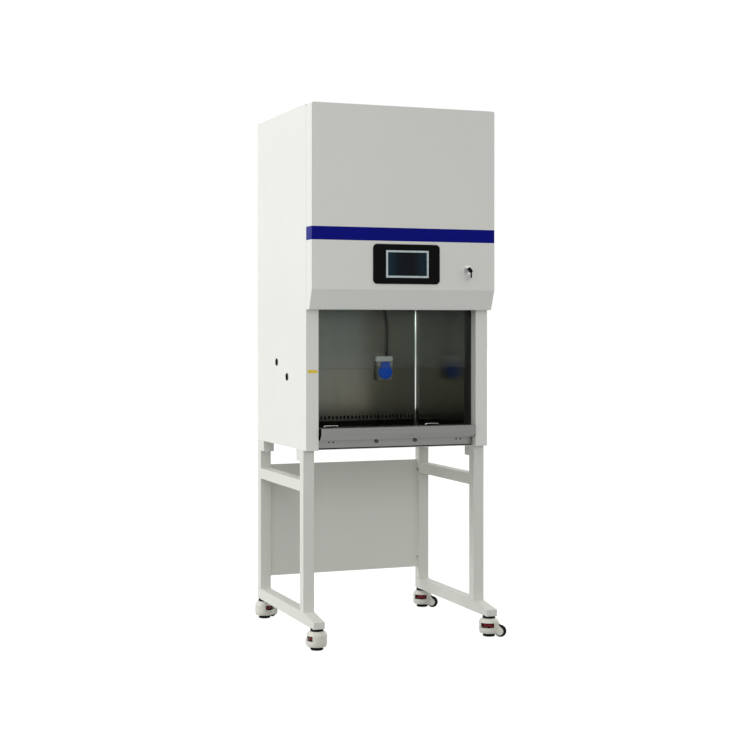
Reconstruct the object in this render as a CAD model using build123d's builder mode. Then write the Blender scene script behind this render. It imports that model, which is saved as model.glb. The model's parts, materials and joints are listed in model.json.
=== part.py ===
"""A small class II biosafety cabinet on a welded tube stand with four levelling casters.

Millimetres. +Z is up, the cabinet's front faces -Y, +X is to its right. The origin is on the floor,
under the middle of the footprint that the casters take up.
"""

from build123d import *

import math
import os

os.makedirs("parts", exist_ok=True)

# ---------------------------------------------------------------- cabinet, driving sizes
width = 700.0
depth = 650.0
front_y = -312.0  # the hood's front face
stand_height = 687.0
body_height = 1218.0
sheet = 1.5  # painted steel
stainless = 1.2
seat_gap = 0.3  # between pieces that are slid in beside each other

post_width = 46.0
post_return = 39.0
hood_projection = 62.0
hood_skirt_height = 497.0  # the hood's lower lip above the body's bottom
hood_chamfer_rise = 71.0
hood_chamfer_back = 29.0
hood_corner = 7.0

side_cavity = 50.0  # between a side panel's outside and the chamber's wall
chamber_height = 540.0
work_height = 67.0  # work surface above the body's bottom
rear_duct = 37.5
guide_depth = 55.0
liner_drop = 106.0  # inner side walls, below the body's top

# ---------------------------------------------------------------- sash
glass = 5.0
glass_height = 560.0
glass_play = 0.5
sash_setback = 42.5  # glass front behind the posts' front
sash_opening = 209.0
groove_depth = 10.0
guide_width = 16.0
strap_in = 50.0  # inside the chamber's wall
strap_width = 20.0
strap = 1.0
clamp_width = 46.0
clamp_height = 36.0
clamp_wall = 4.0
reel_radius = 20.0
reel_flange_radius = 26.0
reel_flange = 2.0
strap_play = 1.0
drum_radius = 10.0
drum_below_top = 81.0
bracket = 5.0
bracket_in = 15.0  # inside the chamber's wall
lift_motor_round = 3.0
glass_edge = 0.8
bracket_width = 44.0
motor_radius = 21.0
motor_length = 46.0
running = 0.05  # radial play of a shaft in its bearing

# ---------------------------------------------------------------- front panel fittings
bezel_width = 255.0
bezel_height = 141.0
bezel_x = 5.0
bezel_above_skirt = 161.5  # bezel centre above the hood's lower lip
bezel_thickness = 5.0
bezel_edge = 1.5
bezel_corner = 15.0
cutout_inset = 12.0
screen_width = 163.0
screen_height = 97.0
screen_x = 6.5
screen_proud = 1.5
screen_rim = 7.0
screen_depth = 30.0
key_in = 107.0  # inside the cabinet's right side
key_drop = 18.5  # key below the bezel centre
lock_radius = 17.0
lock_barrel_radius = 9.0
lock_barrel_length = 24.0
lock_proud = 4.0
key_head_width = 22.0
key_head_height = 26.0
key_head = 4.0
key_stem = 3.0
key_blade = 7.2
key_plug_radius = 6.0
lock_bore = 12.0
ring_inset = 2.0
spare_head = 22.0
spare_rim = 3.0
spare_root = 1.0  # of the spare key's blade in its head
key_standoff = 10.0
ring_radius = 11.0
ring_wire = 0.9
ring_play = 0.5
spare_drop = 22.0

# ---------------------------------------------------------------- apron, tray and chamber fittings
sill_rise = 11.0  # apron top above the work surface
lip_ahead = 14.0  # lip in front of the posts
lip_band = 24.0
slant_drop = 19.0
slant_back = 16.0
fascia_setback = 28.0
fascia_lift = 6.0  # fascia's lower edge above the body's bottom
apron_side_gap = 6.0
sill_overhang = 12.0  # sill behind the glass
thumb_x = 75.0
thumb_round = 2.0
thumb_radius = 6.5
thumb_length = 8.0
apron_screw_radius = 3.0
apron_screw_height = 26.0
small_screw_x = 247.0
small_screw_pitch = 17.0
small_screw_head = 1.8
tray_edge = 20.0
grille_slot = 6.0
grille_slot_length = 48.0
grille_pitch = 14.0
grille_margin = 20.0
grille_inset = 34.0
handle_x = 200.0
handle_setback = 103.0  # behind the tray's front edge
handle_span = 52.0
handle_wire = 2.5
handle_rise = 8.0
rear_slot_width = 8.0
rear_slot_height = 14.0
rear_slot_pitch = 16.0
rear_slot_margin = 12.0
rear_slot_rise = 13.0  # slot centres above the work surface
socket_x = 153.0
socket_rise = 195.0
socket_width = 61.0
socket_height = 71.0
socket_depth = 26.0
socket_corner = 8.0
socket_well_radius = 19.5
socket_well_depth = 15.0
lid_thickness = 11.0
lid_margin = 2.0
lid_barrel_radius = 3.0
lid_root = 1.0  # of the lid in its barrel
lid_barrel_length = 36.0
lid_pin_radius = 1.5
lid_ear = 6.0
lid_round = 4.0
entry_width = 70.0
entry_height = 20.0
entry_depth = 20.0
entry_round = 2.0
entry_above_socket = 1.5
cable_radius = 3.5
cable_standoff = 11.0  # cable axis in front of the chamber's rear wall
cable_top_x = 152.0
cable_low_x = 168.0
cable_straight = 30.0
cable_sway = [(152.0, 62.0), (159.0, 110.0), (171.0, 166.0), (172.5, 226.0)]  # along X, and below the ceiling
cable_bend = 0.45  # share of the shorter run that each bend may take
gland_radius = 9.0
gland_length = 18.0
lamp_setback = 74.0  # UV tube behind the plenum front
lamp_drop = 30.0
lamp_length = 440.0
lamp_radius = 8.0
holder_half = 12.0
holder_length = 20.0
batten_setback = 22.0
batten_width = 24.0
batten_height = 16.0
batten_length = 500.0

# ---------------------------------------------------------------- air system
filter_lift = 15.0
filter_height = 70.0
filter_rim = 12.0
filter_recess = 8.0
exhaust_width = 400.0
exhaust_depth = 290.0
exhaust_slot = 8.0
exhaust_slot_pitch = 22.0
exhaust_slot_count = 12
scroll_width = 160.0
scroll_start = 92.0
scroll_growth = 18.0  # added to the scroll's radius each quarter turn
scroll_wall = 2.0
scroll_axis_above_deck = 158.0
blower_headroom = 27.5  # between the scroll and the exhaust filter
inlet_radius = 66.0
impeller_radius = 80.0
impeller_width = 136.0
blade_count = 24
blade_depth = 16.0
blade = 1.6
hub_radius = 16.0
shaft_radius = 6.0
motor_body_radius = 42.0
motor_body_length = 58.0
motor_round = 5.0
motor_arm = 18.0
motor_arm_reach = 12.0  # past the inlet
motor_arm_thickness = 3.0
blade_lean = 35.0

# ---------------------------------------------------------------- back and sides
inlet_in = 90.0  # inside the cabinet's left side
inlet_drop = 120.0
inlet_width = 48.0
inlet_height = 28.0
inlet_flange = 3.0
inlet_body = 26.0
inlet_ears = 12.0
inlet_rims = 8.0
inlet_round = 4.0
inlet_wall_x = 7.0
inlet_wall_z = 5.0
inlet_well = 18.0
plug_radius = 12.0
plug_flange = 1.8
plug_reach = 4.5
plug_places = [(93.0, 305.0), (-32.0, 254.0)]  # along Y, and above the body's bottom

# ---------------------------------------------------------------- stand
tube = 40.0
tube_wall = 2.0
caster_height = 76.0
front_leg_y = -220.0  # front face of the front legs
block_length = 80.0
beam_drop = 147.0  # underside of the side beams, below the cabinet
toe_reach = 114.0
toe_tip_top = 23.0
panel_drop = 95.0  # below the cabinet
panel_length = 430.0
panel_setback = 20.5
panel_flange = 18.0
bolt_radius = 4.0
bolt_hole_radius = 4.5
bolt_head_radius = 7.5
bolt_head = 6.0
bolt_inset = 20.0  # from a block's free end
panel_screw_radius = 2.5
panel_screw_head = 5.0

# ---------------------------------------------------------------- casters
caster_in = 20.0  # swivel axis inside the cabinet's side
caster_front_in = 4.0  # behind the hood's front
caster_rear_in = 23.0  # inside the cabinet's back
stem_plate_radius = 23.0
stem_radius = 8.0
stem_bore_radius = 6.5
stud_radius = 6.0
stud_hole_radius = 6.3
stud_length = 20.0
stud_play = 1.0
stem_cap = 5.0
housing_radius = 36.0
housing_wall = 4.5
housing_low = 14.0
housing_high = 67.0
housing_roof = 15.0
housing_crown_bulge = 2.5
housing_waist_bulge = 0.7
housing_tuck = 3.0
housing_lip = 6.0
housing_lip_width = 2.0
wheel_radius = 22.0
wheel_width = 18.0
wheel_play = 1.0
wheel_trail = 43.0
axle_radius = 4.0
web_recess = 3.0
tyre_round = 4.0
hub_rim = 9.0  # below the tread
tyre_side = 7.0  # below the tread
cheek = 5.0
cheek_radius = 14.0
dial_radius = 26.5
dial_low = 37.0
dial_thickness = 11.0
dial_notches = 18
dial_notch_radius = 2.2
window_low = 34.0
window_height = 18.0
window_width = 48.0
window_angle = 85.0  # each side of the trail
pad_radius = 22.5
pad_clear = 1.5
pad_thickness = 7.5
screw_radius = 6.0
screw_top = 51.0
screw_collar = 4.0
pad_slope = 3.0
pad_edge = 2.0

# ---------------------------------------------------------------- places that follow
side = width / 2
base_z = stand_height
top_z = base_z + body_height
rear_y = front_y + depth
body_y = front_y + hood_projection
skirt_z = base_z + hood_skirt_height
return_y = body_y + post_return
wall_y = return_y + guide_depth  # front edge of the chamber's walls
liner_x = side - side_cavity
strap_x = liner_x - strap_in
bracket_x = liner_x - bracket_in
key_x = side - key_in
back_y = rear_y - sheet - rear_duct
inlet_x = inlet_in - side
work_z = base_z + work_height
sill_z = work_z + sill_rise
ceiling_z = work_z + chamber_height
scroll_top = scroll_start + 2 * scroll_growth + scroll_growth / 2 + scroll_wall  # above the scroll's axis
scroll_z = top_z - sheet - filter_height - blower_headroom - scroll_top
deck_z = scroll_z - scroll_axis_above_deck
liner_z = top_z - liner_drop
liner_height = liner_z - base_z
glass_y = body_y + sash_setback
glass_half = liner_x + groove_depth - 2 * glass_play
sash_z = sill_z + sash_opening
drum_z = top_z - drum_below_top
drum_y = glass_y + glass / 2 + strap / 2 + reel_radius
panel_centre_z = skirt_z + bezel_above_skirt
key_z = panel_centre_z - key_drop
apron_half = side - post_width - apron_side_gap
fascia_y = body_y + fascia_setback
apron_back_y = glass_y + glass + sill_overhang
socket_z = work_z + socket_rise
entry_low = socket_z + socket_height / 2 + entry_above_socket
leg_in = side - tube
rear_leg_y = rear_y - tube
foot_z = caster_height
caster_front_y = front_y + caster_front_in
caster_rear_y = rear_y - caster_rear_in
casters = {  # side, place along Y, angle of the trail
    "front_left": (-1, caster_front_y, 100.0),
    "front_right": (1, caster_front_y, -40.0),
    "rear_left": (-1, caster_rear_y, 28.0),
    "rear_right": (1, caster_rear_y, -40.0),
}
beam_height = base_z - beam_drop
panel_high = base_z - panel_drop
panel_low = panel_high - panel_length
rear_slot_count = int((2 * liner_x - 2 * rear_slot_margin) / rear_slot_pitch)
grille_count = int((2 * liner_x - 2 * grille_margin) / grille_pitch)


def finish(piece, label):
    piece.part.label = label
    export_step(piece.part, f"parts/{label}.step")


def span(low, high, mode=Mode.ADD):
    """A rectangle in the current sketch from its low corner to its high corner."""
    centre = ((low[0] + high[0]) / 2, (low[1] + high[1]) / 2)
    with Locations(centre):
        Rectangle(high[0] - low[0], high[1] - low[1], mode=mode)


def level(z):
    return Plane.XY.offset(z)


def facing(y):
    """A plane across the cabinet at y. Its normal points to the front."""
    return Plane.XZ.offset(-y)


def across(x):
    """A plane along the cabinet at x, drawn in Y and Z. Its normal points right."""
    return Plane.YZ.offset(x)


# ================================================================ body shell
def side_panel(sign, label):
    outer, inner = sign * side, sign * (side - post_width)
    with BuildPart() as panel:
        with BuildSketch(level(base_z)):
            span((min(outer, outer - sign * sheet), body_y), (max(outer, outer - sign * sheet), rear_y))
            span((min(outer, inner), body_y), (max(outer, inner), body_y + sheet))
            span((min(inner, inner + sign * sheet), body_y), (max(inner, inner + sign * sheet), return_y))
        extrude(amount=body_height - sheet)
        if sign < 0:
            with BuildSketch(across(-side)):
                with Locations(*[(y, base_z + z) for y, z in plug_places]):
                    Circle(plug_radius)
            extrude(amount=sheet, mode=Mode.SUBTRACT)
    finish(panel, label)


side_panel(-1, "left_side_panel")
side_panel(1, "right_side_panel")

with BuildPart() as rear_panel:
    with BuildSketch(facing(rear_y)):
        span((-side + sheet, base_z + sheet), (side - sheet, top_z - sheet))
        with Locations((inlet_x, top_z - inlet_drop)):
            Rectangle(inlet_width, inlet_height, mode=Mode.SUBTRACT)
    extrude(amount=sheet)
finish(rear_panel, "rear_panel")

exhaust_y = back_y - exhaust_depth / 2 - seat_gap
with BuildPart() as top_panel:
    with BuildSketch(level(top_z - sheet)):
        span((-side, body_y), (side, rear_y))
        with Locations((0, exhaust_y)):
            with GridLocations(1, exhaust_slot_pitch, 1, exhaust_slot_count):
                SlotOverall(exhaust_width - 4 * filter_rim, exhaust_slot, mode=Mode.SUBTRACT)
    extrude(amount=sheet)
finish(top_panel, "top_panel")

block_bolts = [
    (sign * (side - tube / 2), y)
    for sign in (-1, 1)
    for y in (front_leg_y + block_length - bolt_inset, rear_y - block_length + bolt_inset)
]
with BuildPart() as bottom_pan:
    with BuildSketch(level(base_z)):
        span((-side + sheet, body_y + sheet), (side - sheet, rear_y))
        for sign in (-1, 1):
            with Locations((sign * (side - post_width + sheet / 2), (body_y + return_y) / 2)):
                Rectangle(sheet + seat_gap, post_return + seat_gap, mode=Mode.SUBTRACT)
        with Locations((0, (body_y + fascia_y) / 2)):
            Rectangle(2 * (side - post_width), fascia_setback, mode=Mode.SUBTRACT)
        with Locations(*block_bolts):
            Circle(bolt_hole_radius, mode=Mode.SUBTRACT)
    extrude(amount=sheet)
finish(bottom_pan, "bottom_pan")

# ================================================================ hood
with BuildPart() as hood_cover:
    with BuildSketch(across(-side)):
        with BuildLine():
            Polyline(
                (body_y, skirt_z),
                (front_y + hood_chamfer_back, skirt_z),
                (front_y, skirt_z + hood_chamfer_rise),
                (front_y, top_z),
                (body_y, top_z),
                close=True,
            )
        make_face()
    extrude(amount=width)
    fillet(hood_cover.edges().filter_by(Axis.Y).group_by(Axis.Z)[-1], radius=hood_corner)
    offset(amount=-sheet, openings=hood_cover.faces().sort_by(Axis.Y)[-1])
    with BuildSketch(facing(front_y)):
        with Locations((bezel_x, panel_centre_z)):
            Rectangle(bezel_width - 2 * cutout_inset, bezel_height - 2 * cutout_inset)
        with Locations((key_x, key_z)):
            Circle(lock_barrel_radius + running)
    extrude(amount=-2 * sheet, mode=Mode.SUBTRACT)
finish(hood_cover, "hood_cover")

with BuildPart() as display_bezel:
    with BuildSketch(facing(front_y)):
        with Locations((bezel_x, panel_centre_z)):
            RectangleRounded(bezel_width, bezel_height, bezel_corner)
        with Locations((screen_x, panel_centre_z)):
            Rectangle(screen_width, screen_height, mode=Mode.SUBTRACT)
    extrude(amount=bezel_thickness)
    chamfer(display_bezel.faces().sort_by(Axis.Y)[0].outer_wire().edges(), length=bezel_edge)
finish(display_bezel, "display_bezel")

with BuildPart() as touch_screen:
    with BuildSketch(facing(front_y - bezel_thickness - screen_proud)):
        with Locations((screen_x, panel_centre_z)):
            Rectangle(screen_width - 2 * running, screen_height - 2 * running)
    extrude(amount=-screen_depth)
    with BuildSketch(facing(front_y - bezel_thickness - screen_proud)):
        with Locations((screen_x, panel_centre_z)):
            Rectangle(screen_width - 2 * screen_rim, screen_height - 2 * screen_rim)
    extrude(amount=-screen_proud, mode=Mode.SUBTRACT)
finish(touch_screen, "touch_screen")

lock_axis = Axis((key_x, front_y, key_z), (0, -1, 0))
with BuildPart() as key_switch:
    with BuildSketch(Plane.XY.offset(key_z)):
        span((key_x, front_y), (key_x + lock_barrel_radius, front_y + lock_barrel_length))
        span((key_x, front_y - lock_proud), (key_x + lock_radius, front_y))
    revolve(axis=lock_axis)
    with BuildSketch(facing(front_y - lock_proud)):
        with Locations((key_x, key_z)):
            Circle(key_plug_radius + running)
    extrude(amount=-lock_bore, mode=Mode.SUBTRACT)
finish(key_switch, "key_switch")

key_front = front_y - lock_proud - key_standoff
ring_z = key_z - key_head_height / 3
with BuildPart() as key:
    with BuildSketch(facing(front_y - lock_proud)):
        with Locations((key_x, key_z)):
            Circle(key_plug_radius)
    extrude(amount=seat_gap - lock_bore)
    with BuildSketch(across(key_x - key_stem / 2)):
        span((key_front, key_z - key_blade / 2), (front_y - lock_proud + key_stem, key_z + key_blade / 2))
    extrude(amount=key_stem)
    with BuildSketch(across(key_x - key_head / 2)):
        with Locations((key_front - key_head_width / 2, key_z)):
            SlotOverall(key_head_height, key_head_width, rotation=90)
        with Locations((key_front - key_head_width / 2 - ring_inset, ring_z)):
            Circle(ring_wire + ring_play, mode=Mode.SUBTRACT)
    extrude(amount=key_head)
    hang = Vector(key_x, key_front - key_head_width / 2 - ring_inset, ring_z - ring_radius)
    with BuildSketch(Plane(origin=hang + Vector(ring_radius, 0, 0), z_dir=(0, 0, 1))):
        Circle(ring_wire)
    revolve(axis=Axis(hang, (0, 1, 0)))
    spare_z = ring_z - 2 * ring_radius
    with BuildSketch(across(key_x - key_stem / 2)):
        with Locations((hang.Y, spare_z - spare_head / 2 + spare_rim)):
            SlotOverall(spare_head, spare_head - 2 * spare_rim, rotation=90)
        with Locations((hang.Y, spare_z)):
            Circle(ring_wire + ring_play, mode=Mode.SUBTRACT)
        with Locations((hang.Y, spare_z - spare_head - spare_drop / 2 + spare_rim + spare_root)):
            Rectangle(key_blade, spare_drop)
    extrude(amount=key_stem)
finish(key, "key")

# ================================================================ chamber
with BuildPart() as chamber_rear_wall:
    with BuildSketch(facing(back_y + stainless)):
        span((-liner_x, base_z + sheet + seat_gap), (liner_x, deck_z))
        with Locations((0, work_z + rear_slot_rise)):
            with GridLocations(rear_slot_pitch, 1, rear_slot_count, 1):
                SlotOverall(rear_slot_height, rear_slot_width, rotation=90, mode=Mode.SUBTRACT)
    extrude(amount=stainless)
finish(chamber_rear_wall, "chamber_rear_wall")

with BuildPart() as chamber_side_walls:
    with BuildSketch(level(base_z + sheet)):
        for sign in (-1, 1):
            low, high = sorted((sign * liner_x, sign * (liner_x + stainless)))
            span((low, wall_y), (high, back_y + stainless))
    extrude(amount=liner_height - sheet)
finish(chamber_side_walls, "chamber_side_walls")

with BuildPart() as diffuser:
    with BuildSketch(level(ceiling_z)):
        span((-liner_x, wall_y), (liner_x, back_y))
    extrude(amount=stainless)
finish(diffuser, "diffuser")

with BuildPart() as plenum_front:
    with BuildSketch(facing(wall_y)):
        span((-liner_x, ceiling_z + stainless), (liner_x, liner_z))
    extrude(amount=-stainless)
finish(plenum_front, "plenum_front")

tray_front_y = apron_back_y
with BuildPart() as work_tray:
    with BuildSketch(level(work_z)):
        span((-liner_x + 2 * seat_gap, tray_front_y), (liner_x - 2 * seat_gap, back_y - 2 * seat_gap))
    extrude(amount=-tray_edge)
    offset(amount=-stainless, openings=work_tray.faces().sort_by(Axis.Z)[0])
    with BuildSketch(level(work_z)):
        with Locations((0, tray_front_y + grille_inset)):
            with GridLocations(grille_pitch, 1, grille_count, 1):
                Rectangle(grille_slot, grille_slot_length)
    extrude(amount=-2 * stainless, mode=Mode.SUBTRACT)
finish(work_tray, "work_tray")

handle_y = tray_front_y + handle_setback
with BuildPart() as tray_handles:
    for sign in (-1, 1):
        x = sign * handle_x
        with BuildLine() as bow:
            FilletPolyline(
                (x - handle_span / 2, handle_y, work_z),
                (x - handle_span / 2, handle_y, work_z + handle_rise),
                (x + handle_span / 2, handle_y, work_z + handle_rise),
                (x + handle_span / 2, handle_y, work_z),
                radius=1.5 * handle_wire,
            )
        with BuildSketch(Plane(origin=bow.line @ 0, z_dir=bow.line % 0)):
            Circle(handle_wire)
        sweep(path=bow.line)
finish(tray_handles, "tray_handles")


with BuildPart() as front_apron:
    with BuildSketch(across(-apron_half)):
        with BuildLine():
            Polyline(
                (apron_back_y - seat_gap, work_z - tray_edge),
                (apron_back_y - seat_gap, sill_z),
                (body_y - lip_ahead, sill_z),
                (body_y - lip_ahead, sill_z - lip_band),
                (body_y - lip_ahead + slant_back, sill_z - lip_band - slant_drop),
                (fascia_y, sill_z - lip_band - slant_drop),
                (fascia_y, base_z + fascia_lift),
                (fascia_y + stainless, base_z + fascia_lift),
                (fascia_y + stainless, sill_z - lip_band - slant_drop + stainless),
                (body_y - lip_ahead + slant_back + stainless, sill_z - lip_band - slant_drop + stainless),
                (body_y - lip_ahead + stainless, sill_z - lip_band + stainless / 2),
                (body_y - lip_ahead + stainless, sill_z - stainless),
                (apron_back_y - seat_gap - stainless, sill_z - stainless),
                (apron_back_y - seat_gap - stainless, work_z - tray_edge),
                close=True,
            )
        make_face()
    extrude(amount=2 * apron_half)
    with BuildSketch(facing(fascia_y)):
        with Locations((-thumb_x, base_z + apron_screw_height), (thumb_x, base_z + apron_screw_height)):
            Circle(apron_screw_radius + running)
    extrude(amount=-stainless, mode=Mode.SUBTRACT)
finish(front_apron, "front_apron")

with BuildPart() as apron_screws:
    with BuildSketch(facing(fascia_y)):
        with Locations((-thumb_x, base_z + apron_screw_height), (thumb_x, base_z + apron_screw_height)):
            Circle(thumb_radius)
    extrude(amount=thumb_length)
    fillet(apron_screws.edges().group_by(Axis.Y)[0], radius=thumb_round)
    with BuildSketch(facing(fascia_y)):
        with Locations((-thumb_x, base_z + apron_screw_height), (thumb_x, base_z + apron_screw_height)):
            Circle(apron_screw_radius)
    extrude(amount=-2 * thumb_length)
    with BuildSketch(facing(fascia_y)):
        for sign in (-1, 1):
            with Locations((sign * small_screw_x, base_z + apron_screw_height)):
                with GridLocations(small_screw_pitch, 1, 2, 1):
                    Circle(apron_screw_radius)
    extrude(amount=small_screw_head)
finish(apron_screws, "apron_screws")

# ================================================================ socket in the chamber
socket_front_y = back_y - socket_depth
hinge_y = socket_front_y - seat_gap - lid_barrel_radius
hinge_z = socket_z + socket_height / 2 - lid_barrel_radius
with BuildPart() as socket_base:
    with BuildSketch(facing(back_y)):
        with Locations((socket_x, socket_z)):
            RectangleRounded(socket_width, socket_height, socket_corner)
    extrude(amount=socket_depth)
    with BuildSketch(facing(back_y - socket_depth)):
        with Locations((socket_x, socket_z - lid_margin)):
            Circle(socket_well_radius)
    extrude(amount=-socket_well_depth, mode=Mode.SUBTRACT)
    for sign in (-1, 1):
        with BuildSketch(across(socket_x + sign * (lid_barrel_length / 2 + seat_gap))):
            with Locations((hinge_y, hinge_z)):
                Circle(lid_barrel_radius)
            span((hinge_y, hinge_z - lid_barrel_radius), (socket_front_y, hinge_z + lid_barrel_radius))
        extrude(amount=sign * lid_ear)
    with BuildSketch(across(socket_x - lid_barrel_length / 2 - seat_gap)):
        with Locations((hinge_y, hinge_z)):
            Circle(lid_pin_radius)
    extrude(amount=lid_barrel_length + 2 * seat_gap)
finish(socket_base, "socket_base")

lid_top = hinge_z - lid_barrel_radius - seat_gap
with BuildPart() as socket_lid:
    with BuildSketch(facing(back_y - socket_depth - seat_gap)):
        with BuildLine():
            Polyline(
                (socket_x - socket_width / 2 + lid_margin, lid_top),
                (socket_x - socket_width / 2 + lid_margin, socket_z - socket_height / 2 + lid_margin),
                (socket_x + socket_width / 2 - lid_margin, socket_z - socket_height / 2 + lid_margin),
                (socket_x + socket_width / 2 - lid_margin, lid_top),
                close=True,
            )
        make_face()
    extrude(amount=lid_thickness)
    fillet(socket_lid.edges().filter_by(Axis.Y).group_by(Axis.Z)[0], radius=socket_corner)
    fillet(socket_lid.faces().sort_by(Axis.Y)[0].edges(), radius=lid_round)
    with BuildSketch(across(socket_x - lid_barrel_length / 2)):
        with Locations((hinge_y, hinge_z)):
            Circle(lid_barrel_radius)
        span((hinge_y - lid_barrel_radius, lid_top - lid_root), (hinge_y + lid_barrel_radius, hinge_z))
    extrude(amount=lid_barrel_length)
    with BuildSketch(across(socket_x - lid_barrel_length / 2)):
        with Locations((hinge_y, hinge_z)):
            Circle(lid_pin_radius + running)
    extrude(amount=lid_barrel_length, mode=Mode.SUBTRACT)
finish(socket_lid, "socket_lid")

cable_y = back_y - cable_standoff
cable_low = entry_low + entry_height
cable_route = [
    (cable_top_x, cable_y, ceiling_z - gland_length),
    *((x, cable_y, ceiling_z - drop) for x, drop in cable_sway),
    (cable_low_x, cable_y, cable_low + cable_straight),
    (cable_low_x, cable_y, cable_low),
]


def route_radii(points):
    """Each bend as large as its two runs allow."""
    radii = []
    for before, at, after in zip(points, points[1:], points[2:]):
        first, second = Vector(*at) - Vector(*before), Vector(*after) - Vector(*at)
        half_turn = math.radians(first.get_angle(second)) / 2
        radii.append(cable_bend * min(first.length, second.length) / math.tan(half_turn))
    return radii


cable_radii = route_radii(cable_route)
print("cable bend radii, mm:", [round(r) for r in cable_radii])
with BuildPart() as socket_cable:
    with BuildLine() as route:
        FilletPolyline(*cable_route, radius=cable_radii)
    with BuildSketch(Plane(origin=route.line @ 0, z_dir=route.line % 0)):
        Circle(cable_radius)
    sweep(path=route.line)
finish(socket_cable, "socket_cable")
print("cable length, mm:", round(sum(edge.length for edge in route.edges())))

with BuildPart() as cable_fittings:
    with BuildSketch(level(ceiling_z)):
        with Locations(cable_route[0][:2]):
            RegularPolygon(gland_radius, 6)
    extrude(amount=-gland_length)
    with BuildSketch(facing(back_y)):
        span((socket_x - entry_width / 2, entry_low), (socket_x + entry_width / 2, cable_low))
    extrude(amount=entry_depth)
    fillet(
        cable_fittings.faces().filter_by(Plane.XZ).sort_by(Axis.Y)[0].edges(),
        radius=entry_round,
    )
finish(cable_fittings, "cable_fittings")

# ================================================================ lamps
lamp_y = wall_y + lamp_setback
lamp_z = ceiling_z - lamp_drop
with BuildPart() as uv_lamp:
    with BuildSketch(across(-lamp_length / 2)):
        with Locations((lamp_y, lamp_z)):
            Circle(lamp_radius)
    extrude(amount=lamp_length)
finish(uv_lamp, "uv_lamp")

with BuildPart() as lamp_holders:
    for sign in (-1, 1):
        with BuildSketch(across(sign * lamp_length / 2)):
            span((lamp_y - holder_half, lamp_z - holder_half), (lamp_y + holder_half, ceiling_z))
        extrude(amount=sign * holder_length)
    with BuildSketch(level(ceiling_z)):
        with Locations((0, wall_y + batten_setback)):
            Rectangle(batten_length, batten_width)
    extrude(amount=-batten_height)
finish(lamp_holders, "lamp_holders")


# ================================================================ air system
def filter_box(label, x_half, y_low, y_high, z_low):
    with BuildPart() as box:
        with BuildSketch(level(z_low)):
            span((-x_half, y_low), (x_half, y_high))
        extrude(amount=filter_height)
        for z, way in ((z_low, 1), (z_low + filter_height, -1)):
            with BuildSketch(level(z)):
                span((-x_half + filter_rim, y_low + filter_rim), (x_half - filter_rim, y_high - filter_rim))
            extrude(amount=way * filter_recess, mode=Mode.SUBTRACT)
    finish(box, label)


filter_box(
    "supply_filter",
    liner_x - seat_gap,
    wall_y + stainless + seat_gap,
    back_y - seat_gap,
    ceiling_z + filter_lift,
)
filter_box(
    "exhaust_filter",
    exhaust_width / 2,
    exhaust_y - exhaust_depth / 2,
    exhaust_y + exhaust_depth / 2,
    top_z - sheet - filter_height,
)

scroll_y = (wall_y + back_y) / 2
step = scroll_growth / 2
scroll_end = scroll_start + 3 * scroll_growth
outlet_low, outlet_high = scroll_y - step - scroll_end, scroll_y + step - scroll_start


with BuildPart() as blower_deck:
    with BuildSketch(level(deck_z)):
        span((-liner_x, wall_y + stainless), (liner_x, back_y + stainless))
        span(
            (-scroll_width / 2 + scroll_wall, outlet_low + scroll_wall),
            (scroll_width / 2 - scroll_wall, outlet_high - scroll_wall),
            mode=Mode.SUBTRACT,
        )
    extrude(amount=stainless)
finish(blower_deck, "blower_deck")


def scroll_profile(extra):
    """The volute and its outlet down to the deck, grown by extra, at the housing's left side."""
    centres = [(step, -step), (step, step), (-step, step), (-step, -step)]
    with BuildSketch(across(-scroll_width / 2 + scroll_wall - extra)) as profile:
        with BuildLine():
            for quarter, (cy, cz) in enumerate(centres):
                radius = scroll_start + quarter * scroll_growth + extra
                CenterArc((scroll_y + cy, scroll_z + cz), radius, 180 + 90 * quarter, 90)
            Line(
                (scroll_y - step - scroll_end - extra, scroll_z - step),
                (scroll_y + step - scroll_start - extra, scroll_z - step),
            )
        make_face()
        span((outlet_low - extra, deck_z + stainless), (outlet_high + extra, scroll_z - step))
    return profile.sketch


with BuildPart() as blower_housing:
    extrude(scroll_profile(scroll_wall), amount=scroll_width, dir=(1, 0, 0))
    extrude(scroll_profile(0), amount=scroll_width - 2 * scroll_wall, dir=(1, 0, 0), mode=Mode.SUBTRACT)
    with BuildSketch(across(-scroll_width / 2)):
        with Locations((scroll_y, scroll_z)):
            Circle(inlet_radius)
    extrude(amount=scroll_width, mode=Mode.SUBTRACT)
finish(blower_housing, "blower_housing")

with BuildPart() as blower_impeller:
    with BuildSketch(across(-blade)):
        with Locations((scroll_y, scroll_z)):
            Circle(impeller_radius)
    extrude(amount=2 * blade)
    with BuildSketch(across(-impeller_width / 2)):
        with Locations((scroll_y, scroll_z)):
            Circle(impeller_radius)
            Circle(impeller_radius - blade_depth / 2, mode=Mode.SUBTRACT)
    extrude(amount=2 * blade)
    with BuildSketch(across(impeller_width / 2)):
        with Locations((scroll_y, scroll_z)):
            Circle(impeller_radius)
            Circle(impeller_radius - blade_depth / 2, mode=Mode.SUBTRACT)
    extrude(amount=-2 * blade)
    with BuildSketch(across(-impeller_width / 2)):
        with Locations((scroll_y, scroll_z)):
            with PolarLocations(impeller_radius - blade_depth / 2 - blade / 2, blade_count):
                Rectangle(blade_depth, blade, rotation=blade_lean)
    extrude(amount=impeller_width)
    with BuildSketch(across(-hub_radius)):
        with Locations((scroll_y, scroll_z)):
            Circle(hub_radius)
    extrude(amount=2 * hub_radius)
    with BuildSketch(across(-hub_radius)):
        with Locations((scroll_y, scroll_z)):
            Circle(shaft_radius + running)
    extrude(amount=2 * hub_radius, mode=Mode.SUBTRACT)
finish(blower_impeller, "blower_impeller")

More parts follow.
